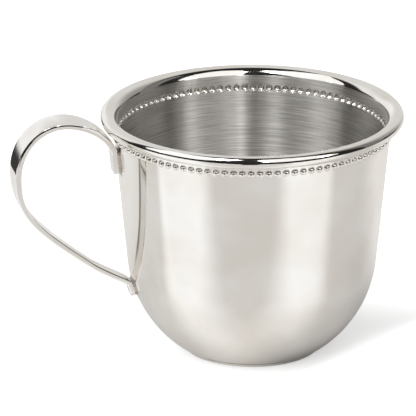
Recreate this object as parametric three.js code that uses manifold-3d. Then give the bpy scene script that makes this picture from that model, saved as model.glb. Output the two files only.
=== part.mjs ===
// A silver-plated cup: a drawn bowl with a rolled rim and a row of embossed beads,
// a bent strip handle soldered on at two tabs, and a round base disc soldered underneath.
// Millimetres, +Z up. The origin is the centre of the base disc's underside.
// The handle points along -X and lies in the XZ plane.
import * as THREE from 'three';
import { mergeVertices } from 'three/addons/utils/BufferGeometryUtils.js';
import Module from 'manifold-3d';

// Bowl
const rimDiameter = 76;
const cupHeight = 62.3;
const rimRollDiameter = 3.1;
const metalThickness = 1.25;
const wallTaper = 5.6; // degrees the straight wall leans out
const turnHeight = 23.2; // where the straight wall turns into the round bottom
const bottomDiameter = 37.2; // of the flat under the round bottom
const curlOpening = 60; // degrees left open between the curled edge and the wall

// Row of beads pressed out from the inside
const beadDrop = 5.2; // from the top of the rim down to the row
const beadPitch = 2.19;
const beadDiameter = 1.65;
const beadHeight = 0.7; // how far a bead stands out of the wall
const dimpleDiameter = 1.7;
const dimpleDepth = 0.6;

// Base
const baseDiameter = 34.6;
const baseThickness = 1;
const baseEdgeChamfer = 0.25;
const baseSolderThickness = 0.3;
const baseSolderSetback = 0.6; // leaves the dark groove above the base disc

// Strip handle
const gripWidth = 8.7;
const gripWidthShare = 0.79; // of the upper bend, where the strip has swollen to its full width
const armWidth = 4.5; // lower arm, above its tab
const tabWidth = 4.5;
const upperTabThickness = 1.6;
const archThickness = 1.35; // at the top of the arch
const gripThickness = 1.65;
const lowerTabThickness = 1.35;
const stripEdgeChamfer = 0.25;
const tabCornerRadius = 1;
const upperTabDrop = 13.9; // from the top of the rim down to the end of the upper tab
const upperTabLength = 5.2;
const archReach = 14.4; // from the wall at the upper tab out to the top of the arch
const archRise = 0.15; // of the strip's middle above the rim
const gripReach = 26.05; // from the wall at the upper tab out to the middle of the grip
const gripDrop = 13.25; // from the top of the rim down to the middle of the grip
const lowerTabHeight = 17.6;
const lowerTabLength = 3.3;
const armReach = 11.48; // from the wall at the lower tab out to the straight part of the lower arm
const armRise = 7.35; // of that place above the lower tab
const armSlope = 36.7; // degrees the straight part rises away from the bowl

// How far each bend of the strip keeps to the direction of its two ends
const upperBendStart = 3.6;
const upperBendEnd = 7.05;
const archStart = 5.9;
const archEnd = 8.4;
const gripStart = 9.65;
const gripEnd = 16.8;
const lowerBendStart = 4.45;
const lowerBendEnd = 0.8;

// Solder under the two tabs
const tabSolderThickness = 0.15;
const tabSolderMargin = 0.3; // squeezed out past the tab
const solderChamfer = 0.05;
const solderClearance = 0.05;

// Facets
const bowlSegments = 60;
const bottomSteps = 7;
const lipSteps = 4;
const curlSteps = 7;
const hollowSteps = 5;
const beadSegments = 5;
const beadRings = 3;
const tabSteps = 6;
const upperBendSteps = 12;
const archSteps = 14;
const gripSteps = 16;
const lowerBendSteps = 10;
const weldDistance = 1e-4;

const wasm = await Module();
wasm.setup();

const toRadians = THREE.MathUtils.degToRad;
const taper = toRadians(wallTaper);
const rimRadius = rimDiameter / 2;
const rollRadius = rimRollDiameter / 2;
const baseRadius = baseDiameter / 2;
const bottomRadius = bottomDiameter / 2;
const bowlBottom = baseThickness + baseSolderThickness;
const rollCentre = new THREE.Vector2(rimRadius - rollRadius, cupHeight - rollRadius);
const wallNormal = new THREE.Vector2(Math.cos(taper), -Math.sin(taper));

// The straight wall runs down from the inner side of the rim's roll.
function pointOnStraightWall(height) {
  const belowRoll = rollCentre.y - rollRadius - height;
  return new THREE.Vector2(rimRadius - rimRollDiameter - belowRoll * Math.tan(taper), height);
}

// The round bottom is the arc that leaves the wall smoothly and ends at the flat under the bowl.
const turnPoint = pointOnStraightWall(turnHeight);
const turnToFlat = new THREE.Vector2(bottomRadius, bowlBottom).sub(turnPoint);
const arcRadius = -turnToFlat.lengthSq() / (2 * wallNormal.dot(turnToFlat));
const arcCentre = turnPoint.clone().addScaledVector(wallNormal, -arcRadius);

function pointOnBowl(height) {
  if (height > turnHeight) return pointOnStraightWall(height);
  const below = arcCentre.y - height;
  return new THREE.Vector2(arcCentre.x + Math.sqrt(arcRadius ** 2 - below ** 2), height);
}

function bowlNormal(height) {
  if (height > turnHeight) return wallNormal.clone();
  return pointOnBowl(height).sub(arcCentre).normalize();
}

function arcPoints(centre, radius, fromAngle, toAngle, steps) {
  const points = [];
  for (let i = 0; i <= steps; i++) {
    const angle = THREE.MathUtils.lerp(fromAngle, toAngle, i / steps);
    const spoke = new THREE.Vector2(Math.cos(angle), Math.sin(angle));
    points.push(spoke.multiplyScalar(radius).add(centre));
  }
  return points;
}

// A smooth bend that leaves one point and reaches the next in the two given directions.
// The pull says how far it keeps to each of them.
function bend(start, startDirection, end, endDirection, pull) {
  const leave = start.clone().addScaledVector(startDirection, pull[0]);
  const arrive = end.clone().addScaledVector(endDirection, -pull[1]);
  return new THREE.CubicBezierCurve(start, leave, arrive, end);
}

// Triangles with three different corners, after corners at the same place are joined.
function weldedTriangles(geometry) {
  const bare = geometry.clone();
  bare.deleteAttribute('normal');
  bare.deleteAttribute('uv');
  const welded = mergeVertices(bare, weldDistance);
  const index = welded.index.array;
  const kept = [];
  for (let i = 0; i < index.length; i += 3) {
    const [a, b, c] = [index[i], index[i + 1], index[i + 2]];
    if (a !== b && b !== c && c !== a) kept.push(a, b, c);
  }
  welded.setIndex(kept);
  return welded;
}

function toSolid(geometry) {
  const welded = weldedTriangles(geometry);
  return new wasm.Manifold(new wasm.Mesh({
    numProp: 3,
    vertProperties: new Float32Array(welded.attributes.position.array),
    triVerts: new Uint32Array(welded.index.array),
  }));
}

function fromSolid(solid) {
  const mesh = solid.getMesh();
  const geometry = new THREE.BufferGeometry();
  geometry.setAttribute('position', new THREE.BufferAttribute(mesh.vertProperties, 3));
  geometry.setIndex(new THREE.BufferAttribute(mesh.triVerts, 1));
  geometry.computeVertexNormals();
  return geometry;
}

// A profile of (radius, height) points turned round the cup's upright axis.
function turned(profile, segments) {
  return new THREE.LatheGeometry(profile, segments).rotateX(Math.PI / 2);
}

function bowlProfile() {
  const thickness = metalThickness;
  const innerArcRadius = arcRadius - thickness;
  const floorHeight = bowlBottom + thickness;
  const flatAngle = Math.atan2(bowlBottom - arcCentre.y, bottomRadius - arcCentre.x);
  const floorAngle = Math.asin((floorHeight - arcCentre.y) / innerArcRadius);

  // The wall turns over the lip in one arc that ends level on top of the roll.
  const rimTop = new THREE.Vector2(rollCentre.x, cupHeight);
  const lipDepth = rimTop.clone().sub(turnPoint).dot(wallNormal) + thickness;
  const lipRadius = lipDepth / (1 - Math.sin(taper));
  const lipCentre = new THREE.Vector2(rimTop.x, rimTop.y - lipRadius);
  const wallAngle = Math.PI - taper;
  const topAngle = Math.PI / 2;
  const outerLip = arcPoints(lipCentre, lipRadius - thickness, wallAngle, topAngle, lipSteps);
  const innerLip = arcPoints(lipCentre, lipRadius, topAngle, wallAngle, lipSteps);

  // From there it curls outwards and under, round a hollow.
  const edgeAngle = toRadians(curlOpening) - Math.PI;
  const hollow = arcPoints(rollCentre, rollRadius - thickness, topAngle, edgeAngle, hollowSteps);
  const curl = arcPoints(rollCentre, rollRadius, edgeAngle, topAngle, curlSteps);

  return [
    new THREE.Vector2(0, bowlBottom),
    ...arcPoints(arcCentre, arcRadius, flatAngle, -taper, bottomSteps),
    ...outerLip.slice(0, -1),
    ...hollow,
    ...curl.slice(0, -1),
    ...innerLip,
    ...arcPoints(arcCentre, innerArcRadius, -taper, floorAngle, bottomSteps),
    new THREE.Vector2(0, floorHeight),
  ];
}

// One ball of a row round the wall, with a pole of its mesh pointing out.
function rowBall(diameter, surface, sunk, turn) {
  const ball = new THREE.SphereGeometry(diameter / 2, beadSegments, beadRings);
  ball.rotateZ(-Math.PI / 2);
  ball.translate(surface.x + sunk, 0, surface.y);
  ball.rotateZ(turn);
  return toSolid(ball);
}

function bowlGeometry() {
  const rowHeight = cupHeight - beadDrop;
  const outside = pointOnStraightWall(rowHeight);
  const inside = outside.clone().addScaledVector(wallNormal, -metalThickness);
  const beadCount = Math.round(2 * Math.PI * outside.x / beadPitch);
  let bowl = toSolid(turned(bowlProfile(), bowlSegments));
  for (let i = 0; i < beadCount; i++) {
    const turn = 2 * Math.PI * (i + 0.5) / beadCount;
    const bead = rowBall(beadDiameter, outside, beadHeight - beadDiameter / 2, turn);
    const dimple = rowBall(dimpleDiameter, inside, dimpleDepth - dimpleDiameter / 2, turn);
    bowl = bowl.add(bead).subtract(dimple);
  }
  return fromSolid(bowl);
}

function baseDiscGeometry() {
  const chamfer = baseEdgeChamfer;
  return turned([
    new THREE.Vector2(0, 0),
    new THREE.Vector2(baseRadius - chamfer, 0),
    new THREE.Vector2(baseRadius, chamfer),
    new THREE.Vector2(baseRadius, baseThickness - chamfer),
    new THREE.Vector2(baseRadius - chamfer, baseThickness),
    new THREE.Vector2(0, baseThickness),
  ], bowlSegments);
}

function baseSolderGeometry() {
  const radius = baseRadius - baseSolderSetback;
  return turned([
    new THREE.Vector2(0, baseThickness),
    new THREE.Vector2(radius, baseThickness),
    new THREE.Vector2(radius, bowlBottom),
    new THREE.Vector2(0, bowlBottom),
  ], bowlSegments);
}

// A flat strip along stations in the handle's plane. A station has its centre and normal as
// (distance out from the cup's axis, height), and the strip's width and thickness there.
function stripGeometry(stations, chamfer) {
  const positions = [];
  const corners = 8;
  for (const { centre, normal, width, thickness } of stations) {
    const [a, b] = [thickness / 2, width / 2];
    const [c, d] = [a - chamfer, b - chamfer];
    const section = [[a, d], [c, b], [-c, b], [-a, d], [-a, -d], [-c, -b], [c, -b], [a, -d]];
    for (const [across, along] of section) {
      positions.push(-centre.x - normal.x * across, along, centre.y + normal.y * across);
    }
  }
  const index = [];
  for (let i = 0; i + 1 < stations.length; i++) {
    for (let k = 0; k < corners; k++) {
      const [p, q] = [i * corners + k, i * corners + (k + 1) % corners];
      index.push(p, q, q + corners, p, q + corners, p + corners);
    }
  }
  const last = (stations.length - 1) * corners;
  for (let k = 1; k + 1 < corners; k++) {
    index.push(0, k + 1, k);
    index.push(last, last + k, last + k + 1);
  }
  const geometry = new THREE.BufferGeometry();
  geometry.setAttribute('position', new THREE.Float32BufferAttribute(positions, 3));
  geometry.setIndex(index);
  geometry.computeVertexNormals();
  return geometry;
}

// A tab lies along the bowl, with the solder and its clearances between them.
const tabGap = tabSolderThickness + 2 * solderClearance;

function tabFrame(height, thickness) {
  const normal = bowlNormal(height);
  const up = new THREE.Vector2(-normal.y, normal.x);
  const wall = pointOnBowl(height);
  const centre = wall.clone().addScaledVector(normal, tabGap + thickness / 2);
  return { wall, normal, up, centre };
}

const upperTab = tabFrame(cupHeight - upperTabDrop + upperTabLength / 2, upperTabThickness);
const lowerTab = tabFrame(lowerTabHeight, lowerTabThickness);

function alongTab(tab, distance) {
  return tab.centre.clone().addScaledVector(tab.up, distance);
}

// The strip in legs from the upper tab, over the arch and down the grip to the lower tab.
function handleLegs() {
  const out = new THREE.Vector2(1, 0);
  const down = new THREE.Vector2(0, -1);
  const slope = toRadians(armSlope);
  const intoBowl = new THREE.Vector2(-Math.cos(slope), -Math.sin(slope));
  const downLowerTab = lowerTab.up.clone().negate();
  const upperEnd = alongTab(upperTab, -upperTabLength / 2);
  const upperTop = alongTab(upperTab, upperTabLength / 2);
  const archTop = new THREE.Vector2(upperTab.wall.x + archReach, cupHeight + archRise);
  const grip = new THREE.Vector2(upperTab.wall.x + gripReach, cupHeight - gripDrop);
  const arm = new THREE.Vector2(lowerTab.wall.x + armReach, lowerTabHeight + armRise);
  const lowerTop = alongTab(lowerTab, lowerTabLength / 2);
  const lowerEnd = alongTab(lowerTab, -lowerTabLength / 2);
  const upperBend = bend(upperTop, upperTab.up, archTop, out, [upperBendStart, upperBendEnd]);
  const arch = bend(archTop, out, grip, down, [archStart, archEnd]);
  const lowerArm = bend(grip, down, arm, intoBowl, [gripStart, gripEnd]);
  const lowerBend = bend(arm, intoBowl, lowerTop, downLowerTab, [lowerBendStart, lowerBendEnd]);
  const upperTabLine = new THREE.LineCurve(upperEnd, upperTop);
  const lowerTabLine = new THREE.LineCurve(lowerTop, lowerEnd);
  const [tab, hold, lower] = [tabWidth, gripWidth, armWidth];
  const [upperDepth, archDepth] = [upperTabThickness, archThickness];
  const [gripDepth, lowerDepth] = [gripThickness, lowerTabThickness];
  return [
    { curve: upperTabLine, steps: tabSteps, widths: [tab, tab], depths: [upperDepth, upperDepth] },
    {
      curve: upperBend,
      steps: upperBendSteps,
      widths: [tab, hold],
      depths: [upperDepth, archDepth],
      share: gripWidthShare,
    },
    { curve: arch, steps: archSteps, widths: [hold, hold], depths: [archDepth, gripDepth] },
    { curve: lowerArm, steps: gripSteps, widths: [hold, lower], depths: [gripDepth, lowerDepth] },
    { curve: lowerBend, steps: lowerBendSteps, widths: [lower, tab], depths: [lowerDepth, lowerDepth] },
    { curve: lowerTabLine, steps: tabSteps, widths: [tab, tab], depths: [lowerDepth, lowerDepth] },
  ];
}

// The corners at a tab's end are quarter circles.
function roundedEndWidth(width, fromEnd) {
  const missing = Math.max(0, tabCornerRadius - fromEnd);
  return width - 2 * (tabCornerRadius - Math.sqrt(tabCornerRadius ** 2 - missing ** 2));
}

function handleGeometry() {
  const stations = [];
  for (const { curve, steps, widths, depths, share = 1 } of handleLegs()) {
    for (let i = stations.length ? 1 : 0; i <= steps; i++) {
      const t = i / steps;
      const direction = curve.getTangent(t);
      stations.push({
        centre: curve.getPoint(t),
        normal: new THREE.Vector2(-direction.y, direction.x),
        width: THREE.MathUtils.lerp(...widths, Math.min(1, t / share)),
        thickness: THREE.MathUtils.lerp(...depths, t),
      });
    }
  }
  const ends = [stations[0].centre, stations.at(-1).centre];
  for (const station of stations) {
    const fromEnd = Math.min(...ends.map((end) => end.distanceTo(station.centre)));
    station.width = roundedEndWidth(station.width, fromEnd);
  }
  return stripGeometry(stations, stripEdgeChamfer);
}

function tabSolderGeometry(tab, length) {
  const middle = tab.wall.clone().addScaledVector(tab.normal, tabGap / 2);
  const ends = [length / 2, -length / 2 - tabSolderMargin];
  const stations = ends.map((distance) => ({
    centre: middle.clone().addScaledVector(tab.up, distance),
    normal: tab.normal,
    width: tabWidth + 2 * tabSolderMargin,
    thickness: tabSolderThickness,
  }));
  return stripGeometry(stations, solderChamfer);
}

const silverPlate = { color: '#d6d3ce', roughness: 0.12, metalness: 1 };
const solder = { color: '#a9a6a1', roughness: 0.4, metalness: 1 };

const cup = new THREE.Group();

function addPiece(name, geometry, look) {
  const piece = new THREE.Mesh(geometry, new THREE.MeshStandardMaterial(look));
  piece.name = name;
  cup.add(piece);
}

addPiece('bowl', bowlGeometry(), silverPlate);
addPiece('handle', handleGeometry(), silverPlate);
addPiece('upper_handle_solder', tabSolderGeometry(upperTab, upperTabLength), solder);
addPiece('lower_handle_solder', tabSolderGeometry(lowerTab, lowerTabLength), solder);
addPiece('base_disc', baseDiscGeometry(), silverPlate);
addPiece('base_solder', baseSolderGeometry(), solder);

export default cup;
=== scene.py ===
import math

import bpy
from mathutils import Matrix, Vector


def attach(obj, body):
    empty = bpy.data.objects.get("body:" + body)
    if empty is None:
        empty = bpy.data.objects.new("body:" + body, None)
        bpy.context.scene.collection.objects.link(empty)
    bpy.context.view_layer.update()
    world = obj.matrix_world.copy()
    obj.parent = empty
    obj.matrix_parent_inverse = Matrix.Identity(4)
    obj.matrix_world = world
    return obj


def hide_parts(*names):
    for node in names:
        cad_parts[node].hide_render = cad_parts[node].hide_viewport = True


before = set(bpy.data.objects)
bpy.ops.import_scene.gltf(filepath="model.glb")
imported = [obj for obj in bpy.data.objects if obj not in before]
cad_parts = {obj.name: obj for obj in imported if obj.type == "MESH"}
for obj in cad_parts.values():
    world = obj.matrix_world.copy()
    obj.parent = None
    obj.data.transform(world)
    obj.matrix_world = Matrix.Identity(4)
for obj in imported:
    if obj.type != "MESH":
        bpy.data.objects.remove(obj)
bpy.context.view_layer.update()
mm = 0.001  # the settings below are in millimetres, Blender works in metres


# Helpers for colours, nodes, curves and meshes

def toLinear(hexColour):
    linear = []
    for i in (1, 3, 5):
        channel = int(hexColour[i:i + 2], 16) / 255
        linear.append(channel / 12.92 if channel <= 0.04045 else ((channel + 0.055) / 1.055) ** 2.4)
    return (*linear, 1.0)


def addNode(tree, kind, settings=None, inputs=None):
    node = tree.nodes.new(kind)
    for key, value in (settings or {}).items():
        setattr(node, key, value)
    for key, value in (inputs or {}).items():
        if isinstance(value, bpy.types.NodeSocket):
            tree.links.new(value, node.inputs[key])
        else:
            node.inputs[key].default_value = value
    return node


def newMaterial(name):
    material = bpy.data.materials.new(name)
    material.use_nodes = True
    material.node_tree.nodes.clear()
    return material, material.node_tree


def noise(tree, place, scale, detail, roughness=0.5):
    return addNode(tree, "ShaderNodeTexNoise", None, {
        "Vector": place, "Scale": scale, "Detail": detail, "Roughness": roughness}).outputs["Fac"]


def mapRange(tree, value, fromSpan, toSpan=(0.0, 1.0), smooth=False):
    node = addNode(tree, "ShaderNodeMapRange", {"interpolation_type": "SMOOTHSTEP" if smooth else "LINEAR"}, {
        "Value": value, "From Min": fromSpan[0], "From Max": fromSpan[1],
        "To Min": toSpan[0], "To Max": toSpan[1]})
    return node.outputs["Result"]


def maths(tree, operation, *values):
    return addNode(tree, "ShaderNodeMath", {"operation": operation}, dict(enumerate(values))).outputs["Value"]


def dot(tree, vector, direction):
    node = addNode(tree, "ShaderNodeVectorMath", {"operation": "DOT_PRODUCT"}, {0: vector, 1: direction})
    return node.outputs["Value"]


def mixTones(tree, share, first, second, blend="MIX"):
    node = addNode(tree, "ShaderNodeMix", {"data_type": "RGBA", "blend_type": blend}, {
        0: share, 6: first, 7: second})
    return node.outputs[2]


def toneRamp(tree, value, stops, tones, blend="LINEAR"):
    node = addNode(tree, "ShaderNodeValToRGB", None, {"Fac": value})
    ramp = node.color_ramp
    ramp.interpolation = blend
    while len(ramp.elements) < len(stops):
        ramp.elements.new(0.5)
    for element, stop, tone in zip(ramp.elements, stops, tones):
        element.position = stop
        element.color = toLinear(tone)
    return node.outputs["Color"]


def metalSurface(tree, colour, roughness, height, depth, extra=None):
    # bare metal, with bumps of the given depth in mm
    bump = addNode(tree, "ShaderNodeBump", None, {
        "Height": height, "Strength": 1.0, "Distance": depth * mm})
    shader = addNode(tree, "ShaderNodeBsdfPrincipled", None, {
        "Base Color": colour, "Metallic": 1.0, "Roughness": roughness,
        "Normal": bump.outputs["Normal"], **(extra or {})})
    addNode(tree, "ShaderNodeOutputMaterial", None, {"Surface": shader.outputs["BSDF"]})


def metres(values):
    return [value * mm for value in values]


def lerp(a, b, t):
    return a + (b - a) * t


def arcPoints(centre, radius, fromAngle, toAngle, steps):
    points = []
    for i in range(steps + 1):
        angle = lerp(fromAngle, toAngle, i / steps)
        points.append((centre[0] + radius * math.cos(angle), centre[1] + radius * math.sin(angle)))
    return points


class Bend:
    # leaves one point and reaches the next in the two given directions
    def __init__(self, start, startDirection, end, endDirection, pulls=None):
        pulls = pulls or ((end - start).length / 3, (end - start).length / 3)
        leave = start + startDirection * pulls[0]
        arrive = end - endDirection * pulls[1]
        self.corners = (start, leave, arrive, end)

    def point(self, t):
        a, b, c, d = self.corners
        s = 1 - t
        return a * s ** 3 + b * (3 * s * s * t) + c * (3 * s * t * t) + d * t ** 3

    def direction(self, t):
        a, b, c, d = self.corners
        s = 1 - t
        return ((b - a) * s * s + (c - b) * (2 * s * t) + (d - c) * t * t).normalized()


def makePiece(name, points, faces, materials, faceMaterials=None):
    mesh = bpy.data.meshes.new(name)
    mesh.from_pydata([Vector(p) * mm for p in points], [], faces)
    for material in materials:
        mesh.materials.append(material)
    for polygon in mesh.polygons:
        polygon.use_smooth = True
    if faceMaterials:
        mesh.polygons.foreach_set("material_index", faceMaterials)
    mesh.update()
    piece = bpy.data.objects.new(name, mesh)
    bpy.context.scene.collection.objects.link(piece)
    return piece


def bridge(lower, upper):
    # faces between two rings; the finer ring has a whole number of points for each of the coarser
    faces = []
    nLower, nUpper = len(lower), len(upper)
    if nLower == 1:
        return [(lower[0], upper[(k + 1) % nUpper], upper[k]) for k in range(nUpper)]
    if nUpper == 1:
        return [(lower[k], lower[(k + 1) % nLower], upper[0]) for k in range(nLower)]
    if nLower == nUpper:
        for k in range(nLower):
            n = (k + 1) % nLower
            faces.append((lower[k], lower[n], upper[n], upper[k]))
        return faces
    coarse, fine = (lower, upper) if nLower < nUpper else (upper, lower)
    share = len(fine) // len(coarse)
    for k in range(len(coarse)):
        a, b = coarse[k], coarse[(k + 1) % len(coarse)]
        fan = []
        for i in range(share):
            p, q = fine[(k * share + i) % len(fine)], fine[(k * share + i + 1) % len(fine)]
            fan.append((a, q, p) if i < share // 2 else (b, q, p))
            if i == share // 2:
                fan.append((a, b, p))
        faces += fan if coarse is lower else [face[::-1] for face in fan]
    return faces


# Polished silver plate: buffed to a mirror, so it shows the studio as crisp pale and grey bands,
# with a faint warm cast where the thin plating has clouded and hair-fine wiping marks
polishedSilver = {
    "clean": "#f4f2ef",
    "clouded": "#ece8e2",
    "cloudSize": 17.0,  # mm between patches of faint tarnish
    "cloudSpan": (0.38, 0.62),  # of the pattern, from clouded to clean
    "roughness": (0.045, 0.085),
    "wipeSpan": (0.3, 0.75),  # of the wiping marks, from the first roughness to the second
    "wipeLength": 9.0,  # mm along a wiping mark
    "wipeWidth": 0.5,  # mm across, coarser than the real hairlines so that they show at all
    "wipeTurn": (0.5, 0.3, 0.2),  # radians that the marks slant
    "wave": 0.0016,  # mm of unevenness left by drawing and buffing
    "waveSize": 15.0,
}


def polishedSilverMaterial(name, look):
    material, tree = newMaterial(name)
    place = addNode(tree, "ShaderNodeTexCoord").outputs["Object"]
    cloud = noise(tree, place, 1 / (look["cloudSize"] * mm), detail=3.0, roughness=0.55)
    tint = toneRamp(tree, cloud, look["cloudSpan"], (look["clouded"], look["clean"]))
    along, across = 1 / (look["wipeLength"] * mm), 1 / (look["wipeWidth"] * mm)
    stretch = addNode(tree, "ShaderNodeMapping", None, {
        "Vector": place, "Rotation": look["wipeTurn"], "Scale": (along, along, across)})
    wipe = noise(tree, stretch.outputs["Vector"], 1.0, detail=4.0, roughness=0.6)
    haze = mapRange(tree, wipe, look["wipeSpan"], look["roughness"])
    wave = noise(tree, place, 1 / (look["waveSize"] * mm), detail=1.0)
    metalSurface(tree, tint, haze, wave, look["wave"])
    return material


# Brushed silver plate: spun against an abrasive pad, so fine rings of scratches run round the cup
# and smear every light into a tall soft band
brushedSilver = {
    "bright": "#e9e7e3",
    "dull": "#b0ada9",
    "toneSpan": (0.32, 0.62),  # of the scratches, from dull to bright
    "roughness": (0.28, 0.38),
    "wearSpan": (0.45, 0.95),  # of scratches and worn patches, from the first roughness to the second
    "wearShare": 0.4,  # of the worn patches in that
    "patchSize": 9.0,
    "anisotropy": 1.0,
    "smearTurn": 0.25,  # of a full turn, so that light smears across the scratches
    "ringWidth": 0.22,  # mm between scratches, several times the real grit so that they show
    "ringLength": 11.0,  # mm that one scratch runs round the wall
    "ringDepth": 0.004,
}


def brushedSilverMaterial(name, look):
    material, tree = newMaterial(name)
    place = addNode(tree, "ShaderNodeTexCoord").outputs["Object"]
    # height and radius shrink together down the wall and in to the middle, so their sum counts the rings
    flat = addNode(tree, "ShaderNodeVectorMath", {"operation": "MULTIPLY"}, {0: place, 1: (1, 1, 0)})
    radius = addNode(tree, "ShaderNodeVectorMath", {"operation": "LENGTH"}, {0: flat.outputs["Vector"]})
    outwards = addNode(tree, "ShaderNodeCombineXYZ", None, {2: radius.outputs["Value"]})
    lifted = addNode(tree, "ShaderNodeVectorMath", {"operation": "ADD"}, {
        0: place, 1: outwards.outputs["Vector"]})
    along, across = 1 / (look["ringLength"] * mm), 1 / (look["ringWidth"] * mm)
    stretch = addNode(tree, "ShaderNodeMapping", None, {
        "Vector": lifted.outputs["Vector"], "Scale": (along, along, across)})
    ring = noise(tree, stretch.outputs["Vector"], 1.0, detail=5.0, roughness=0.65)
    tint = toneRamp(tree, ring, look["toneSpan"], (look["dull"], look["bright"]))
    patch = noise(tree, place, 1 / (look["patchSize"] * mm), detail=2.0)
    worn = maths(tree, "MULTIPLY_ADD", patch, look["wearShare"], ring)
    haze = mapRange(tree, worn, look["wearSpan"], look["roughness"])
    around = addNode(tree, "ShaderNodeTangent", {"direction_type": "RADIAL", "axis": "Z"})
    metalSurface(tree, tint, haze, ring, look["ringDepth"], {
        "Anisotropic": look["anisotropy"], "Anisotropic Rotation": look["smearTurn"],
        "Tangent": around.outputs["Tangent"]})
    return material


# Soft solder under a thin flash of plating: it froze as it flowed, so it is satin and slightly lumpy
platedSolder = {
    "bright": "#dcd8d2",
    "dull": "#a8a39c",
    "toneSpan": (0.35, 0.6),  # of the lumps, from dull to bright
    "roughness": (0.42, 0.22),
    "hazeSpan": (0.3, 0.7),  # of the lumps, from the first roughness to the second
    "lumpSize": 0.7,  # mm
    "lumpDepth": 0.02,
}


def platedSolderMaterial(name, look):
    material, tree = newMaterial(name)
    place = addNode(tree, "ShaderNodeTexCoord").outputs["Object"]
    lump = noise(tree, place, 1 / (look["lumpSize"] * mm), detail=3.0)
    tint = toneRamp(tree, lump, look["toneSpan"], (look["dull"], look["bright"]))
    haze = mapRange(tree, lump, look["hazeSpan"], look["roughness"])
    metalSurface(tree, tint, haze, lump, look["lumpDepth"])
    return material


polished = polishedSilverMaterial("silver_plate_polished", polishedSilver)
brushed = brushedSilverMaterial("silver_plate_brushed", brushedSilver)
solder = platedSolderMaterial("solder_plated_over", platedSolder)
print("materials made")


# Bowl: one drawn shell with a rolled rim, turned from its profile
bowl = {
    "rimRadius": 38.0,
    "height": 62.3,
    "rollRadius": 1.55,
    "metal": 1.25,
    "taper": math.radians(5.6),
    "turnHeight": 23.2,  # where the straight wall turns into the round bottom
    "flatRadius": 18.6,  # of the flat under the round bottom
    "bottom": 1.3,
    "curlOpening": math.radians(60),
    "edgeRound": 0.25,  # of the curled edge under the roll
    "footRound": 0.5,  # where the round bottom meets the flat under it
    "polishLimit": 60.45,  # height inside the lip where the polish gives way to brushing
    "flatInset": 4.0,  # from the edge of the flat in to its inner ring of mesh
    "segments": 320,
    "arcSteps": 48,
    "footSteps": 5,
    "wallSteps": 5,
    "lipSteps": (16, 36),  # outside and inside
    "hollowSteps": 26,
    "edgeSteps": 8,
    "curlSteps": 56,
    "floorShares": (0.97, 0.9, 0.75, 0.5, 0.25, 0.0),  # of the inner floor's radius
}

# Row of beads pressed out from the inside: domes outside, small dimples inside
beads = {
    "drop": 5.2,
    "count": 100,
    "radius": 0.825,
    "height": 0.7,
    "dimpleRadius": 0.85,
    "dimpleDepth": 0.6,
    "columns": 16,  # of mesh across one bead
    "rows": 18,
    "halfBand": 1.06,
    "margin": 0.5,  # of plain wall under the band
    "slopeFrom": 0.93,  # of the radius, where a dome runs on straight
    "reach": 1.5,  # of the radius, where its fillet ends
    "soften": 0.06,  # fillet at the foot of a bead
}

rollCentre = (bowl["rimRadius"] - bowl["rollRadius"], bowl["height"] - bowl["rollRadius"])
wallNormal = Vector((math.cos(bowl["taper"]), -math.sin(bowl["taper"])))
wallUp = Vector((math.sin(bowl["taper"]), math.cos(bowl["taper"])))


def straightWall(height):
    belowRoll = rollCentre[1] - bowl["rollRadius"] - height
    return Vector((bowl["rimRadius"] - 2 * bowl["rollRadius"] - belowRoll * math.tan(bowl["taper"]), height))


turnPoint = straightWall(bowl["turnHeight"])
turnToFlat = Vector((bowl["flatRadius"], bowl["bottom"])) - turnPoint
arcRadius = -turnToFlat.length_squared / (2 * wallNormal.dot(turnToFlat))
arcCentre = turnPoint - wallNormal * arcRadius

# the lip turns over in one arc from the wall to the top of the roll
rimTop = Vector((rollCentre[0], bowl["height"]))
lipRadius = ((rimTop - turnPoint).dot(wallNormal) + bowl["metal"]) / (1 - math.sin(bowl["taper"]))
lipCentre = rimTop - Vector((0, lipRadius))


def wallPoint(height):
    if height > bowl["turnHeight"]:
        return straightWall(height)
    below = arcCentre.y - height
    return Vector((arcCentre.x + math.sqrt(arcRadius ** 2 - below ** 2), height))


def wallNormalAt(height):
    if height > bowl["turnHeight"]:
        return wallNormal.copy()
    return (wallPoint(height) - arcCentre).normalized()


def domeHeight(distance, radius, height):
    sunk = radius - height
    limit = radius * beads["slopeFrom"]
    inside = min(distance, limit)
    rise = math.sqrt(radius ** 2 - inside ** 2) - sunk
    if distance > limit:
        rise -= (distance - limit) * limit / math.sqrt(radius ** 2 - limit ** 2)
    if distance >= radius * beads["reach"]:
        return 0.0
    return 0.5 * (rise + math.hypot(rise, beads["soften"]))


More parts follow.
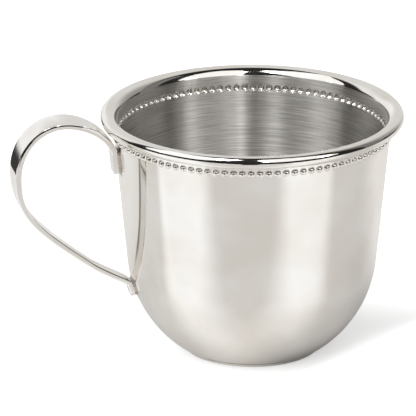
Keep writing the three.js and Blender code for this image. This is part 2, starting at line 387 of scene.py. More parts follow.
def buildBowl():
    points, faces, finishes, rings = [], [], [], []
    coarse = bowl["segments"]
    fine = beads["count"] * beads["columns"]
    shine, satin = 0, 1

    def addRing(radius, height, finish, count=coarse, pushes=(0.0,)):
        # pushes are the distances that a bead moves the wall along its normal, column by column
        ring = []
        for k in range(count if radius > 0 else 1):
            turn = 2 * math.pi * k / count
            push = pushes[k % len(pushes)]
            r = radius + push * wallNormal.x
            points.append((r * math.cos(turn), r * math.sin(turn), height + push * wallNormal.y))
            ring.append(len(points) - 1)
        rings.append((ring, finish))

    def addBand(inwards, size, depth, upwards, finish):
        # the strip of wall that holds the beads, meshed finely enough to shape each of them
        middle = straightWall(beadRow) - wallNormal * inwards
        across = 2 * math.pi * middle.x / fine
        half = beads["columns"] // 2
        steps = range(beads["rows"] + 1)
        for i in (steps if upwards else reversed(steps)):
            along = lerp(-beads["halfBand"], beads["halfBand"], i / beads["rows"])
            centre = middle + wallUp * along
            if i in (0, beads["rows"]):
                addRing(centre.x, centre.y, finish, fine)
                continue
            between = along + beads["halfBand"] / beads["rows"] * (-1 if upwards else 1)

            def bandFinish(k, between=between):
                # the domes and dimples were burnished by the punch that made them
                aside = (k % beads["columns"] + 0.5 - half) * across
                return shine if math.hypot(aside, between) < size else finish

            pushes = []
            for column in range(beads["columns"]):
                distance = math.hypot((column - half) * across, along)
                pushes.append(domeHeight(distance, size, depth))
            addRing(centre.x, centre.y, bandFinish, fine, pushes)

    metal = bowl["metal"]
    baseAngle = math.atan2(bowl["bottom"] - arcCentre.y, bowl["flatRadius"] - arcCentre.x)
    footAngle = baseAngle + bowl["footRound"] / arcRadius
    beadRow = bowl["height"] - beads["drop"]
    below = beadRow - beads["halfBand"] - beads["margin"]

    # outside, from the middle of the bottom up to the rim
    addRing(0, bowl["bottom"], shine)
    addRing(bowl["flatRadius"] - bowl["flatInset"], bowl["bottom"], shine)
    footStart = Vector((bowl["flatRadius"] - bowl["footRound"], bowl["bottom"]))
    footEnd = arcCentre + Vector((math.cos(footAngle), math.sin(footAngle))) * arcRadius
    footCorner = Vector((bowl["flatRadius"], bowl["bottom"]))
    for i in range(bowl["footSteps"] + 1):
        t = i / bowl["footSteps"]
        p = footStart.lerp(footCorner, t).lerp(footCorner.lerp(footEnd, t), t)
        addRing(p.x, p.y, shine)
    for p in arcPoints(arcCentre, arcRadius, footAngle, -bowl["taper"], bowl["arcSteps"])[1:]:
        addRing(p[0], p[1], shine)
    for i in range(bowl["wallSteps"]):
        p = straightWall(lerp(bowl["turnHeight"], below, (i + 1) / bowl["wallSteps"]))
        addRing(p.x, p.y, shine)
    addBand(0, beads["radius"], beads["height"], True, shine)

    # the wall turns over the lip and curls outwards and under, round a hollow
    wallAngle, topAngle = math.pi - bowl["taper"], math.pi / 2
    edgeAngle = bowl["curlOpening"] - math.pi
    hollow = arcPoints(rollCentre, bowl["rollRadius"] - metal, topAngle, edgeAngle, bowl["hollowSteps"])
    curl = arcPoints(rollCentre, bowl["rollRadius"], edgeAngle, topAngle, bowl["curlSteps"])
    for p in arcPoints(lipCentre, lipRadius - metal, wallAngle, topAngle, bowl["lipSteps"][0]):
        addRing(p[0], p[1], shine)
    for p in hollow[1:-1]:
        addRing(p[0], p[1], shine)
    edge = Vector((math.cos(edgeAngle), math.sin(edgeAngle)))
    back = Vector((edge.y, -edge.x))
    edgeMiddle = Vector(rollCentre) + edge * (bowl["rollRadius"] - metal / 2)
    for i in range(bowl["edgeSteps"] + 1):  # the cut edge of the sheet, dulled by hand
        angle = math.pi * i / bowl["edgeSteps"]
        p = edgeMiddle - edge * (metal / 2 * math.cos(angle)) + back * (bowl["edgeRound"] * math.sin(angle))
        addRing(p.x, p.y, shine)
    for p in curl[1:]:
        addRing(p[0], p[1], shine)

    # inside, from the lip down to the middle of the floor
    for p in arcPoints(lipCentre, lipRadius, topAngle, wallAngle, bowl["lipSteps"][1])[1:]:
        addRing(p[0], p[1], shine if p[1] > bowl["polishLimit"] else satin)
    addBand(metal, beads["dimpleRadius"], beads["dimpleDepth"], False, satin)
    for i in reversed(range(bowl["wallSteps"])):
        p = straightWall(lerp(bowl["turnHeight"], below, i / bowl["wallSteps"])) - wallNormal * metal
        addRing(p.x, p.y, satin)
    floorHeight = bowl["bottom"] + metal
    floorAngle = math.asin((floorHeight - arcCentre.y) / (arcRadius - metal))
    inside = arcPoints(arcCentre, arcRadius - metal, -bowl["taper"], floorAngle, bowl["arcSteps"])
    for p in inside[1:]:
        addRing(p[0], p[1], satin)
    for share in bowl["floorShares"]:
        addRing(inside[-1][0] * share, floorHeight, satin)

    for (lower, _), (upper, finish) in zip(rings, rings[1:]):
        made = bridge(lower, upper)
        faces.extend(made)
        if callable(finish):
            finishes.extend(finish(k) for k in range(len(made)))
        else:
            finishes.extend([finish] * len(made))
    return makePiece("cup_bowl", points, faces, [polished, brushed], finishes)


cupBowl = buildBowl()
print("bowl made:", len(cupBowl.data.polygons), "faces")


# Handle: one bent strip, wide at the grip, with its edges eased and its faces a little crowned
handle = {
    "gripWidth": 8.7,
    "gripWidthShare": 0.79,  # of the upper bend, where the strip has swollen to its full width
    "armWidth": 4.5,
    "tabWidth": 4.5,
    "upperTabThickness": 1.6,
    "archThickness": 1.35,
    "gripThickness": 1.65,
    "lowerTabThickness": 1.35,
    "edgeRadius": 0.42,  # of the edges at the two ends
    "edgeRound": (0.5, 0.14),  # of the long edges, through the strip and across it
    "edgeLimit": 0.8,  # of half the strip, the most that an edge takes up
    "endEase": (0.9, 0.3),  # how far the end edges draw in its thickness and its width
    "crown": 0.05,
    "tabCorner": 1.0,
    "upperTabDrop": 13.9,
    "upperTabLength": 5.2,
    "archReach": 14.4,
    "archRise": 0.15,
    "gripReach": 26.05,
    "gripDrop": 13.25,
    "lowerTabHeight": 17.6,
    "lowerTabLength": 3.3,
    "armReach": 11.48,
    "armRise": 7.35,
    "armSlope": math.radians(36.7),
    "pulls": {
        "upperBend": (3.6, 7.05),
        "arch": (5.9, 8.4),
        "lowerArm": (9.65, 16.8),
        "lowerBend": (4.45, 0.8),
    },
    "gap": 0.25,  # filled by the solder
    "step": 0.4,  # mm between stations along the strip
    "leastSteps": 6,
    "lengthSteps": 40,  # for measuring a bend
    # stations close to both ends let the tab corners and end edges turn smoothly
    "endMarks": (0.0, 0.03, 0.09, 0.17, 0.27, 0.4, 0.55, 0.7, 0.9, 1.1, 1.4),
    "markGap": 0.1,
    "cornerSteps": 8,
    "faceSteps": 6,
}


def tabFrame(height, thickness):
    normal = wallNormalAt(height)
    wall = wallPoint(height)
    return {"wall": wall, "up": Vector((-normal.y, normal.x)),
            "centre": wall + normal * (handle["gap"] + thickness / 2)}


upperHeight = bowl["height"] - handle["upperTabDrop"] + handle["upperTabLength"] / 2
upperTab = tabFrame(upperHeight, handle["upperTabThickness"])
lowerTab = tabFrame(handle["lowerTabHeight"], handle["lowerTabThickness"])


def handleStations():
    out, down = Vector((1, 0)), Vector((0, -1))
    slope = handle["armSlope"]
    intoBowl = Vector((-math.cos(slope), -math.sin(slope)))
    upperEnd = upperTab["centre"] - upperTab["up"] * (handle["upperTabLength"] / 2)
    upperTop = upperTab["centre"] + upperTab["up"] * (handle["upperTabLength"] / 2)
    archTop = Vector((upperTab["wall"].x + handle["archReach"], bowl["height"] + handle["archRise"]))
    grip = Vector((upperTab["wall"].x + handle["gripReach"], bowl["height"] - handle["gripDrop"]))
    arm = Vector((lowerTab["wall"].x + handle["armReach"], handle["lowerTabHeight"] + handle["armRise"]))
    lowerTop = lowerTab["centre"] + lowerTab["up"] * (handle["lowerTabLength"] / 2)
    lowerEnd = lowerTab["centre"] - lowerTab["up"] * (handle["lowerTabLength"] / 2)
    pulls = handle["pulls"]
    tab, hold, lower = handle["tabWidth"], handle["gripWidth"], handle["armWidth"]
    upperDepth, archDepth = handle["upperTabThickness"], handle["archThickness"]
    gripDepth, lowerDepth = handle["gripThickness"], handle["lowerTabThickness"]
    legs = [
        (Bend(upperEnd, upperTab["up"], upperTop, upperTab["up"]), (tab, tab), (upperDepth, upperDepth), 1),
        (Bend(upperTop, upperTab["up"], archTop, out, pulls["upperBend"]),
         (tab, hold), (upperDepth, archDepth), handle["gripWidthShare"]),
        (Bend(archTop, out, grip, down, pulls["arch"]), (hold, hold), (archDepth, gripDepth), 1),
        (Bend(grip, down, arm, intoBowl, pulls["lowerArm"]), (hold, lower), (gripDepth, lowerDepth), 1),
        (Bend(arm, intoBowl, lowerTop, -lowerTab["up"], pulls["lowerBend"]),
         (lower, tab), (lowerDepth, lowerDepth), 1),
        (Bend(lowerTop, -lowerTab["up"], lowerEnd, -lowerTab["up"]), (tab, tab), (lowerDepth, lowerDepth), 1),
    ]
    stations = []
    parts = handle["lengthSteps"]
    for curve, widths, depths, share in legs:
        length = sum((curve.point((i + 1) / parts) - curve.point(i / parts)).length for i in range(parts))
        steps = max(handle["leastSteps"], round(length / handle["step"]))
        for i in range(1 if stations else 0, steps + 1):
            t = i / steps
            swell = min(1.0, t / share)
            stations.append({"centre": curve.point(t), "direction": curve.direction(t),
                             "width": lerp(*widths, swell), "thickness": lerp(*depths, t)})
    return stations


def stripSection(width, thickness, crown):
    # (through the strip, across the strip) points round a crowned rectangle with eased corners
    a, b = thickness / 2, width / 2
    through = min(handle["edgeRound"][0], a * handle["edgeLimit"])
    across = min(handle["edgeRound"][1], b * handle["edgeLimit"])
    x, y = a - through, b - across
    section = []
    for n, (cx, cy) in enumerate(((x, y), (-x, y), (-x, -y), (x, -y))):
        for i in range(handle["cornerSteps"] + 1):
            facing = math.radians(90 * (n + i / handle["cornerSteps"]))
            turn = math.atan2(across * math.sin(facing), through * math.cos(facing))
            section.append((cx + through * math.cos(turn), cy + across * math.sin(turn)))
        if n in (1, 3):  # the two broad faces get points between their corners
            side = -a if n == 1 else a
            fromY, toY = (y, -y) if n == 1 else (-y, y)
            for i in range(1, handle["faceSteps"]):
                section.append((side, lerp(fromY, toY, i / handle["faceSteps"])))
    crowned = []
    for x, y in section:
        crowned.append((x - math.copysign(crown * (y / b) ** 2, x), y))
    return crowned


def buildHandle():
    stations = handleStations()
    ends = [0.0]
    for previous, station in zip(stations, stations[1:]):
        ends.append(ends[-1] + (station["centre"] - previous["centre"]).length)
    total = ends[-1]
    marks = list(handle["endMarks"])
    clear = marks[-1] + handle["markGap"]
    wanted = marks + [s for s in ends if clear < s < total - clear]
    wanted += [total - m for m in reversed(marks)]

    def stationAt(distance):
        k = 0
        while k + 2 < len(ends) and ends[k + 1] < distance:
            k += 1
        t = (distance - ends[k]) / (ends[k + 1] - ends[k])
        p, q = stations[k], stations[k + 1]
        return {"centre": p["centre"].lerp(q["centre"], t),
                "direction": p["direction"].lerp(q["direction"], t).normalized(),
                "width": lerp(p["width"], q["width"], t),
                "thickness": lerp(p["thickness"], q["thickness"], t)}

    points, faces, rings = [], [], []
    corner, edge = handle["tabCorner"], handle["edgeRadius"]
    for distance in wanted:
        station = stationAt(distance)
        fromEnd = min(distance, total - distance)
        missing = max(0.0, corner - fromEnd)
        width = station["width"] - 2 * (corner - math.sqrt(corner ** 2 - missing ** 2))
        short = max(0.0, edge - fromEnd)
        eased = 2 * (edge - math.sqrt(edge ** 2 - short ** 2))
        thickness = station["thickness"] - eased * handle["endEase"][0]
        width -= eased * handle["endEase"][1]
        normal = Vector((-station["direction"].y, station["direction"].x))
        ring = []
        for through, across in stripSection(width, thickness, handle["crown"]):
            p = station["centre"] + normal * through
            points.append((-p.x, across, p.y))
            ring.append(len(points) - 1)
        rings.append(ring)
    for lower, upper in zip(rings, rings[1:]):
        faces += [face[::-1] for face in bridge(lower, upper)]
    faces.append(tuple(rings[0]))
    faces.append(tuple(reversed(rings[-1])))
    return makePiece("cup_handle", points, faces, [polished])


cupHandle = buildHandle()
print("handle made:", len(cupHandle.data.polygons), "faces")


# Solder: under each tab it fills the gap to the bowl and creeps out into a hollow fillet
tabSolder = {
    "creep": 0.55,  # mm past the tab's outline
    "bite": 0.05,  # mm into the tab, so that no slit shows
    "skin": 0.01,  # mm that it stands on the wall at its thinnest
    "root": 0.04,  # mm that it sinks into the wall
    "upperMargin": 0.4,  # mm that it runs on above each tab
    "lowerMargin": 0.2,
    "stepsAlong": 30,
    "stepsAcross": 34,
}


def buildTabSolder(name, tab, length, margin):
    creep = tabSolder["creep"]
    halfWidth = handle["tabWidth"] / 2
    corner = handle["tabCorner"]
    low, high = -length / 2, length / 2 + margin

    def outside(s, y):
        # distance outside the tab's outline; its lower corners are round
        dy = abs(y) - (halfWidth - corner)
        ds = (low + corner) - s
        if s > low + corner:
            return math.hypot(max(0.0, abs(y) - halfWidth), max(0.0, s - high))
        return max(0.0, math.hypot(max(0.0, dy), max(0.0, ds)) - corner)

    nS, nY = tabSolder["stepsAlong"], tabSolder["stepsAcross"]
    points, faces = [], []
    for side in (1, 0):
        for i in range(nS + 1):
            s = lerp(low - creep, high + creep, i / nS)
            for j in range(nY + 1):
                y = lerp(-halfWidth - creep, halfWidth + creep, j / nY)
                height = tab["wall"].y + tab["up"].y * s
                wall = wallPoint(height)
                normal = wallNormalAt(height)
                curve = wall.x - math.sqrt(wall.x ** 2 - y * y)
                reach = outside(s, y) / creep
                rise = (handle["gap"] + tabSolder["bite"] + curve) * max(0.0, 1 - reach) ** 2
                lift = rise + tabSolder["skin"] if side else -tabSolder["root"]
                p = wall - Vector((curve, 0)) + normal * lift
                points.append((-p.x, y, p.y))
    layer = (nS + 1) * (nY + 1)
    for i in range(nS):
        for j in range(nY):
            a = i * (nY + 1) + j
            b, c, d = a + 1, a + nY + 2, a + nY + 1
            faces.append((a, d, c, b))
            faces.append((a + layer, b + layer, c + layer, d + layer))
    rim = [i * (nY + 1) for i in range(nS + 1)]
    rim += [nS * (nY + 1) + j for j in range(1, nY + 1)]
    rim += [i * (nY + 1) + nY for i in range(nS - 1, -1, -1)]
    rim += [j for j in range(nY - 1, 0, -1)]
    for k in range(len(rim)):
        a, b = rim[k], rim[(k + 1) % len(rim)]
        faces.append((a, b, b + layer, a + layer))
    return makePiece(name, points, faces, [solder])


upperSolder = buildTabSolder("upper_tab_solder", upperTab, handle["upperTabLength"], tabSolder["upperMargin"])
lowerSolder = buildTabSolder("lower_tab_solder", lowerTab, handle["lowerTabLength"], tabSolder["lowerMargin"])


# Base: a thin disc with a rounded edge, polished round the edge and brushed underneath,
# and the solder that joins it to the bowl, set back so that a dark groove is left
base = {
    "radius": 17.3,
    "thickness": 1.0,
    "edgeRadius": 0.4,
    "edgeSteps": 10,
    "brushedRadii": (0.0, 6.0, 12.0, 16.3),  # rings of mesh on the brushed underside
    "topInset": 3.0,
    "solderSetback": 0.6,
    "solderInset": 2.0,
    "hollow": 0.3,  # of the solder's thickness, how far its edge is drawn in
    "hollowSteps": 8,
    "segments": 256,
}


def buildTurned(name, profile, segments, materials):
    points, faces, finishes, rings = [], [], [], []
    for radius, height, finish in profile:
        ring = []
        for k in range(segments if radius > 0 else 1):
            turn = 2 * math.pi * k / segments
            points.append((radius * math.cos(turn), radius * math.sin(turn), height))
            ring.append(len(points) - 1)
        rings.append((ring, finish))
    for (lower, _), (upper, finish) in zip(rings, rings[1:]):
        made = bridge(lower, upper)
        faces.extend(made)
        finishes.extend([finish] * len(made))
    return makePiece(name, points, faces, materials, finishes)


def buildBase():
    shine, satin = 0, 1
    radius, edge, thick, steps = base["radius"], base["edgeRadius"], base["thickness"], base["edgeSteps"]
    profile = [(r, 0, satin) for r in base["brushedRadii"]]
    lower = arcPoints((radius - edge, edge), edge, -math.pi / 2, 0, steps)
    upper = arcPoints((radius - edge, thick - edge), edge, 0, math.pi / 2, steps)
    profile += [(r, z, shine) for r, z in lower + upper]
    profile += [(radius - base["topInset"], thick, shine), (0, thick, shine)]
    disc = buildTurned("base_plate", profile, base["segments"], [polished, brushed])
    setback = radius - base["solderSetback"]
    inset = setback - base["solderInset"]
    gap = bowl["bottom"] - thick
    joint = [(0, thick, 0), (inset, thick, 0)]
    for i in range(base["hollowSteps"] + 1):
        t = i / base["hollowSteps"]
        joint.append((setback - gap * base["hollow"] * math.sin(math.pi * t), thick + gap * t, 0))
    joint += [(inset, bowl["bottom"], 0), (0, bowl["bottom"], 0)]
    return disc, buildTurned("base_joint", joint, base["segments"], [solder])


basePlate, baseJoint = buildBase()
print("base and solder made")

for piece, node, slot in (
    (cupBowl, "bowl", "bowl_silver_plate"),
    (cupHandle, "handle", "handle_silver_plate"),
    (upperSolder, "upper_handle_solder", "solder"),
    (lowerSolder, "lower_handle_solder", "solder"),
    (basePlate, "base_disc", "base_silver_plate"),
    (baseJoint, "base_solder", "solder"),
):
    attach(piece, "root")
    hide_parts(node)


# Camera: a long lens, a little above the rim, with the handle turned slightly towards it
view = {
    "azimuth": math.radians(-11.85),
    "elevation": math.radians(19.322),
    "distance": 1500.0,
    "aim": (-11.03, 36.30),  # mm to the right of the axis, and up
    "lens": 516.1,  # mm on a 36 mm wide sensor
}

right = Vector((math.cos(view["azimuth"]), math.sin(view["azimuth"]), 0))
away = Vector((-math.sin(view["azimuth"]), math.cos(view["azimuth"]), 0))


def onFloor(x, y):
    # a place or a direction on the floor: to the camera's right, and away from it
    return right * x + away * y


def roundCup(azimuth, elevation, distance):
    # a place round the cup: azimuth 0 is the camera's side, positive to its right
    a, e = math.radians(azimuth), math.radians(elevation)
    flat = onFloor(math.sin(a), -math.cos(a))
    return (flat * math.cos(e) + Vector((0, 0, math.sin(e)))) * distance * mm


cameraData = bpy.data.cameras.new("camera")
cameraData.sensor_width = 36
cameraData.lens = view["lens"]
cameraData.clip_end = 20
camera = bpy.data.objects.new("camera", cameraData)
bpy.context.scene.collection.objects.link(camera)
lookBack = -away * math.cos(view["elevation"]) + Vector((0, 0, math.sin(view["elevation"])))
camera.location = (right * view["aim"][0] + Vector((0, 0, view["aim"][1])) + lookBack * view["distance"]) * mm
camera.rotation_mode = "QUATERNION"
camera.rotation_quaternion = (-lookBack).to_track_quat("-Z", "Y")
bpy.context.scene.camera = camera


# Floor: white to the camera with the cup's soft shadow; in the metal it is a pale sweep with a painted shadow
# round the foot, greyer painted shade in front of the cup and at both sides, and painted light at the back
# and left
floor = {
    "side": (-600.0, 600.0),  # mm to the right
    "depth": (-320.0, 800.0),  # and behind the cup
    "share": 0.62,  # of the light on it that the camera sees
    "glow": (0.41, 0.76),  # white added for the camera: beside the foot on the right, and elsewhere
    "glowSide": (40.0, -40.0),  # mm to the right over which it changes
    "glowDepth": (8.0, 45.0),  # and behind the foot
    "glowFront": ((1.0, -0.8), (22.0, 38.0)),  # and towards the right front, along a direction
    "pale": "#f6f6f6",
    "foot": ((20.0, "#dfdedc"), (38.0, "#f3f2f0"), (60.0, "#ffffff")),  # painted shadow round the foot, seen only in the metal: mm from the axis, and its tone there
    "backGlow": 0.35,  # painted light: the sweep behind the cup glows, which only the metal sees
    "backSpan": (0.0, 70.0),
    "leftGlow": 0.9,  # painted light: the left patch glows, which only the metal sees
    # each painted patch of shade or light lies beyond its edges, given by a point and a direction in degrees,
    # and fades across them
    "leftPaintedPatch": {"tone": "#a6a5a3", "soft": 11.0, "edges": ((-21.9, -26.0, 93.0), (0.0, 0.0, 180.0))},
    "frontPaintedShade": {"tone": "#cfcdcb", "soft": 17.0, "edges": ((-2.0, -19.0, -39.0), (-2.0, -19.0, 208.5))},
    "rightPaintedShade": {"tone": "#d6d4d2", "soft": 11.0, "edges": ((20.3, -27.5, 72.5), (0.0, 0.0, 0.0))},
    "rightShade": "#cac8c6",  # painted shadow of the cup on the right patch, close to the cup
    "shadeSpan": (32.0, 58.0),  # mm from the axis over which it lightens
}


def buildFloor():
    (left, last), (front, rear) = floor["side"], floor["depth"]
    corners = [onFloor(x, y) for x, y in ((left, front), (last, front), (last, rear), (left, rear))]
    piece = makePiece("floor", corners, [(0, 1, 2, 3)], [])
    material, tree = newMaterial("white_sweep")
    place = addNode(tree, "ShaderNodeTexCoord").outputs["Object"]
    radius = addNode(tree, "ShaderNodeVectorMath", {"operation": "LENGTH"}, {0: place}).outputs["Value"]
    side, depth = dot(tree, place, right), dot(tree, place, away)

    def paintedPatchShare(card):
        # 1 on the painted patch and 0 off it
        shares = []
        for x, y, turn in card["edges"]:
            facing = onFloor(math.cos(math.radians(turn)), math.sin(math.radians(turn)))
            start = onFloor(x, y).dot(facing)
            span = metres((start - card["soft"], start + card["soft"]))
            shares.append(mapRange(tree, dot(tree, place, facing), span, smooth=True))
        return maths(tree, "MULTIPLY", *shares)

    def litSurface(colour, glowColour, strength):
        diffuse = addNode(tree, "ShaderNodeBsdfDiffuse", None, {"Color": colour})
        glowing = addNode(tree, "ShaderNodeEmission", None, {"Color": glowColour, "Strength": strength})
        return addNode(tree, "ShaderNodeAddShader", None, {
            0: diffuse.outputs["BSDF"], 1: glowing.outputs["Emission"]}).outputs["Shader"]

    # what the metal sees: the pale sweep with painted shadow, painted shade and painted light
    # painted shadow: the sweep in the metal darkens towards the foot
    reaches, tones = zip(*floor["foot"])
    stops = [(reach - reaches[0]) / (reaches[-1] - reaches[0]) for reach in reaches]
    nearFoot = mapRange(tree, radius, metres((reaches[0], reaches[-1])))
    foot = toneRamp(tree, nearFoot, stops, tones, "EASE")
    colour = mixTones(tree, 1.0, toLinear(floor["pale"]), foot, "MULTIPLY")
    # the left patch: a painted tone and painted light, seen only in the metal
    onLeft = paintedPatchShare(floor["leftPaintedPatch"])
    colour = mixTones(tree, onLeft, colour, toLinear(floor["leftPaintedPatch"]["tone"]))
    # painted shade in front of the cup, seen only in the metal
    colour = mixTones(tree, paintedPatchShare(floor["frontPaintedShade"]), colour, toLinear(floor["frontPaintedShade"]["tone"]))
    # painted shade at the right, darker as a painted shadow close to the cup
    lighter = mapRange(tree, radius, metres(floor["shadeSpan"]), smooth=True)
    rightTone = mixTones(tree, lighter, toLinear(floor["rightShade"]), toLinear(floor["rightPaintedShade"]["tone"]))
    colour = mixTones(tree, paintedPatchShare(floor["rightPaintedShade"]), colour, rightTone)
    # painted light behind the cup, for the metal only
    atBack = mapRange(tree, depth, metres(floor["backSpan"]), (0.0, floor["backGlow"]), smooth=True)
    # painted light: the left patch and the sweep behind the cup glow for the metal
    mirror = litSurface(colour, colour, maths(tree, "MULTIPLY_ADD", onLeft, floor["leftGlow"], atBack))

    # what the camera sees
    (x, y), frontSpan = floor["glowFront"]
    clear = mapRange(tree, side, metres(floor["glowSide"]), smooth=True)
    for reach, span in ((depth, floor["glowDepth"]), (dot(tree, place, onFloor(x, y)), frontSpan)):
        clear = maths(tree, "MAXIMUM", clear, mapRange(tree, reach, metres(span), smooth=True))
    glow = mapRange(tree, clear, (0.0, 1.0), floor["glow"])
    white = litSurface((floor["share"], floor["share"], floor["share"], 1), (1, 1, 1, 1), glow)

    path = addNode(tree, "ShaderNodeLightPath")
    plain = addNode(tree, "ShaderNodeBsdfDiffuse", None, {"Color": toLinear(floor["pale"])})
    glossy = addNode(tree, "ShaderNodeMixShader", None, {
        0: path.outputs["Is Glossy Ray"], 1: plain.outputs["BSDF"], 2: mirror})
    surface = addNode(tree, "ShaderNodeMixShader", None, {
        0: path.outputs["Is Camera Ray"], 1: glossy.outputs["Shader"], 2: white})
    addNode(tree, "ShaderNodeOutputMaterial", None, {"Surface": surface.outputs["Shader"]})
    piece.data.materials.append(material)


buildFloor()


# Room: even soft light on the floor; in the metal a pale wall at the back and dark everywhere else
room = {
    "soft": "#6c6c6c",
    "wall": "#e0dfdd",
    "wallLeft": "#f2f1ef",
    "wallRight": "#9c9a98",
    "wallSides": (0.35, 0.8),  # to either side, where those tones begin and are full
    "dark": "#2a2928",
    "edge": (0.225, 0.345),  # the wall's rim, as the cosine of its angle from the wall's middle
    "skirtingSlope": 0.7,  # towards its sides the wall also darkens near the floor
    "skirting": (0.44, 0.56),
}


def buildRoom():
    world = bpy.data.worlds.new("room")
    bpy.context.scene.world = world
    world.use_nodes = True
    tree = world.node_tree
    tree.nodes.clear()
    look = addNode(tree, "ShaderNodeTexCoord").outputs["Generated"]
    facing = dot(tree, look, away)
    atBack = mapRange(tree, facing, room["edge"], smooth=True)
    height = addNode(tree, "ShaderNodeSeparateXYZ", None, {0: look}).outputs["Z"]
    raised = maths(tree, "MULTIPLY_ADD", facing, room["skirtingSlope"], height)
    wall = maths(tree, "MULTIPLY", atBack, mapRange(tree, raised, room["skirting"], smooth=True))
    tone = toLinear(room["wall"])
    for side, name in ((-1, "wallLeft"), (1, "wallRight")):
        beyond = mapRange(tree, dot(tree, look, right * side), room["wallSides"], smooth=True)
        tone = mixTones(tree, beyond, tone, toLinear(room[name]))
    inMetal = mixTones(tree, wall, toLinear(room["dark"]), tone)
    path = addNode(tree, "ShaderNodeLightPath")
    glossy = mixTones(tree, path.outputs["Is Glossy Ray"], toLinear(room["soft"]), inMetal)
    seen = mixTones(tree, path.outputs["Is Camera Ray"], glossy, (1, 1, 1, 1))
    light = addNode(tree, "ShaderNodeBackground", None, {"Color": seen, "Strength": 1.0})
    addNode(tree, "ShaderNodeOutputWorld", None, {"Surface": light.outputs["Background"]})


buildRoom()


# Lights: a large soft box over each of the camera's shoulders, whose cloth the metal sees as a glowing card,
# a painted reflection, and two brighter lamps behind the cloth of each
softBoxes = {
    "left_soft_box": {"azimuth": -51, "elevation": 47, "distance": 900, "width": 1564, "height": 1120,
                      "glow": 1.68, "inMetal": False},
    "left_inner_lamp": {"azimuth": -28.5, "elevation": 58, "distance": 820, "width": 150, "height": 290,
                        "glow": 12.5, "inMetal": True},
    "left_outer_lamp": {"azimuth": -72, "elevation": 42, "distance": 820, "width": 190, "height": 500,
                        "glow": 5.2, "inMetal": True},
    "right_soft_box": {"azimuth": 39, "elevation": 47, "distance": 900, "width": 1214, "height": 1120,
                       "glow": 1.68, "inMetal": False},
    "right_inner_lamp": {"azimuth": 15.5, "elevation": 45, "distance": 820, "width": 150, "height": 450,
                         "glow": 9.5, "inMetal": True},
    "right_outer_lamp": {"azimuth": 54, "elevation": 42, "distance": 820, "width": 230, "height": 480,
                         "glow": 6.6, "inMetal": True},
}
cupMiddle = Vector((0, 0, 40 * mm))

for name, box in softBoxes.items():
    lamp = bpy.data.lights.new(name, "AREA")
    lamp.shape = "RECTANGLE"
    lamp.size = box["width"] * mm
    lamp.size_y = box["height"] * mm
    lamp.energy = box["glow"] * math.pi * lamp.size * lamp.size_y
    holder = bpy.data.objects.new(name, lamp)
    bpy.context.scene.collection.objects.link(holder)
    holder.location = roundCup(box["azimuth"], box["elevation"], box["distance"]) + cupMiddle
    holder.rotation_mode = "QUATERNION"
    holder.rotation_quaternion = (cupMiddle - holder.location).to_track_quat("-Z", "Y")
    holder.visible_camera = False
    holder.visible_glossy = box["inMetal"]
    holder.visible_diffuse = not box["inMetal"]


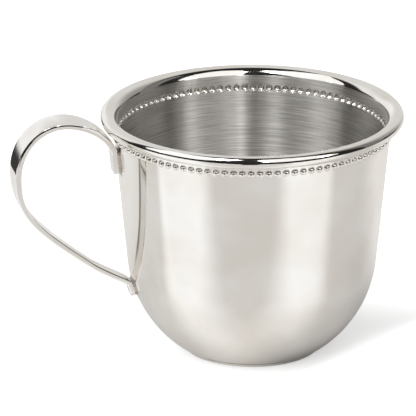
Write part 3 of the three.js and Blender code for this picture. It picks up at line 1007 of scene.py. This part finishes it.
# Painted reflections: cards that glow for the metal only, as columns of (azimuth, lowest, highest) round the
# cup or as
# pairs of corners just over the floor: the two cloths, a grey one at the right, a white one over painted dark
# shade at the back left, and on the floor a dark strip in front and a painted dark line at the left
cards = {
    "left_cloth": {"distance": 900, "colour": "#ffffff", "glow": 1.12, "columns": (
        (-10, 60, 63), (-14.5, 53, 66.5), (-19, 47, 68.5), (-29, 34, 72), (-38, 23, 73.5), (-45, 20.5, 74),
        (-60, 20, 74), (-75, 19.5, 73.5), (-86, 19, 73.5), (-92, 30, 72.5), (-98, 44, 71), (-105, 53, 69),
        (-114, 57, 66.5), (-126, 59, 63))},
    "right_cloth": {"distance": 900, "colour": "#ffffff", "glow": 1.12, "columns": (
        (7, 21, 27), (9.5, 20.5, 45), (12, 20.5, 62), (14, 20.5, 72), (22, 20.5, 74), (40, 20.5, 74.5),
        (58, 20.5, 74), (66, 22, 71), (70, 28, 60))},
    "grey_card": {"distance": 700, "colour": "#7c7c7b", "columns": (
        (90, 2, 58), (97, 2, 58), (105, 2, 58), (112, 2, 58))},
    "pale_card": {"distance": 580, "colour": "#fafafa", "columns": (
        (-177, 1, 25), (-163, 1, 25), (-149, 1, 25), (-136, 1, 25), (-123, 1, 25)),
        "softSides": 115, "fade": ((0, 0, 1), 225, 315)},
    "painted_shade_back_left": {"colour": "#3c3b3a", "corners": ((-117, 153), (-185, 107), (-470, 1124), (-940, 808)),
                   "fade": ((-0.53, 0.848, 0), 330, 1050)},
    "dark_strip": {"colour": "#1d1c1b", "corners": ((-24, -190), (12, -190), (-110, -790), (55, -790))},
    "painted_dark_line_left": {"colour": "#86817c", "corners": (
        (-42, 32.5), (-42, 30.5), (-64, 34), (-64, 30), (-74, 33), (-74, 26), (-87, 30), (-87, 22),
        (-100, 28), (-100, 19), (-150, 28), (-150, 17), (-240, 28), (-240, 20)), "softSides": 45},
}
overFloor = Vector((0, 0, 0.5))  # mm, so that a card hides the floor under it


def buildCard(name, card):
    points = [onFloor(x, y) + overFloor for x, y in card.get("corners", ())]
    for azimuth, low, high in card.get("columns", ()):
        points += [(roundCup(azimuth, e, card["distance"]) + cupMiddle) / mm for e in (low, high)]
    faces = [(i, i + 2, i + 3, i + 1) for i in range(0, len(points) - 2, 2)]
    piece = makePiece(name, points, faces, [])
    material, tree = newMaterial(name)
    surface = addNode(tree, "ShaderNodeEmission", None, {
        "Color": toLinear(card["colour"]), "Strength": card.get("glow", 1.0)}).outputs["Emission"]
    place = addNode(tree, "ShaderNodeTexCoord").outputs["Object"]

    def fadeOut(surface, reach, start, end):
        gone = mapRange(tree, reach, metres((start, end)), smooth=True)
        clear = addNode(tree, "ShaderNodeBsdfTransparent")
        return addNode(tree, "ShaderNodeMixShader", None, {
            0: gone, 1: surface, 2: clear.outputs["BSDF"]}).outputs["Shader"]

    if "fade" in card:
        (x, y, z), start, end = card["fade"]
        surface = fadeOut(surface, dot(tree, place, onFloor(x, y) + Vector((0, 0, z))), start, end)
    if "softSides" in card:
        first, last = points[0], points[-2]
        along = (last - first).normalized()
        half = (last - first).length / 2
        middle = (first + last).dot(along) / 2
        aside = maths(tree, "ABSOLUTE", maths(tree, "SUBTRACT", dot(tree, place, along), middle * mm))
        surface = fadeOut(surface, aside, half - card["softSides"], half)
    addNode(tree, "ShaderNodeOutputMaterial", None, {"Surface": surface})
    piece.data.materials.append(material)
    piece.visible_camera = False
    piece.visible_shadow = False
    piece.visible_diffuse = False


for name, card in cards.items():
    buildCard(name, card)
bpy.context.scene.view_settings.view_transform = "Standard"
print("studio made")
